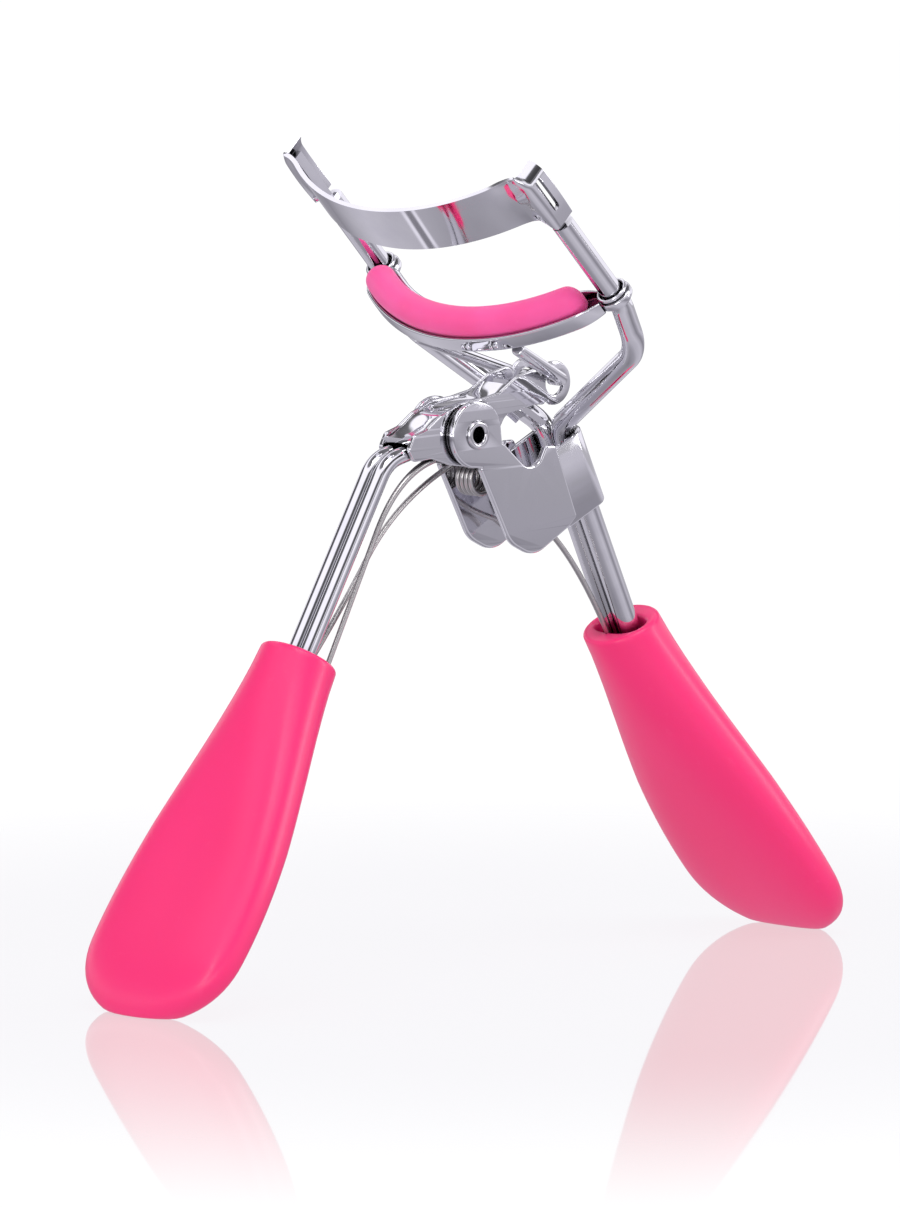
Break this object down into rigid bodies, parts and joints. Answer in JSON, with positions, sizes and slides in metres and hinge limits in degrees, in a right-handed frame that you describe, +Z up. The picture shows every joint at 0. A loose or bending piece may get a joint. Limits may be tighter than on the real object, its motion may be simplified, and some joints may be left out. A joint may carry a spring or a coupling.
{
  "type": "eyelash curler",
  "caption": "Hand-held eyelash curler: two pink grips, crossed bent-wire handles on a pivot, a spring, a fixed curved upper jaw and a sliding padded lower jaw.",
  "frame": {"origin": "middle of the footprint, on the surface that the two grip tips stand on", "axes": "+Z up; X across the two open handles, +X towards the fixed handle with the jaws' wire frame; Y along the jaws, the pivot rivet's direction"},
  "size_m": [0.0992, 0.0396, 0.0884],
  "materials": {
    "chrome_wire": "polished",
    "chrome_sheet": "polished",
    "rivet_metal": "polished",
    "spring_steel": "bright",
    "pink_grip": "gloss",
    "pink_pad": "satin"
  },
  "bodies": {
    "frame": {"frame_wire_near": "chrome_wire", "frame_wire_far": "chrome_wire", "upper_jaw": "chrome_sheet", "bracket": "chrome_sheet", "pivot_rivet": "rivet_metal", "washers": "rivet_metal", "frame_grip": "pink_grip", "spring_coil": "spring_steel"},
    "lever": {"rocker": "chrome_sheet", "lever_wire_near": "chrome_wire", "lever_wire_far": "chrome_wire", "lever_grip": "pink_grip", "spring_lever_leg": "spring_steel", "spring_anchor_leg": "spring_steel"},
    "lower_jaw": {"lower_jaw": "chrome_sheet", "eyelet_near": "chrome_sheet", "eyelet_far": "chrome_sheet", "lash_pad": "pink_pad", "link_wire_near": "chrome_wire", "link_wire_far": "chrome_wire"}
  },
  "joints": [
    {"name": "lever_pivot", "type": "hinge", "parent": "frame", "child": "lever", "pos_m": [-0.00218, 0, 0.0576], "axis": [0, -1, 0], "range_deg": [0, 44], "stiffness_Nm_per_rad": 0.12, "springref_deg": -20.05, "deforming": ["spring_coil", "spring_lever_leg", "spring_anchor_leg"]},
    {"name": "jaw_slide", "type": "slide", "parent": "frame", "child": "lower_jaw", "axis": [-0.682, 0, 0.7314], "range_m": [0, 0.0099]}
  ],
  "couplings": [
    {"joint": "jaw_slide", "follows": "lever_pivot", "m_per_rad": 0.01288}
  ]
}
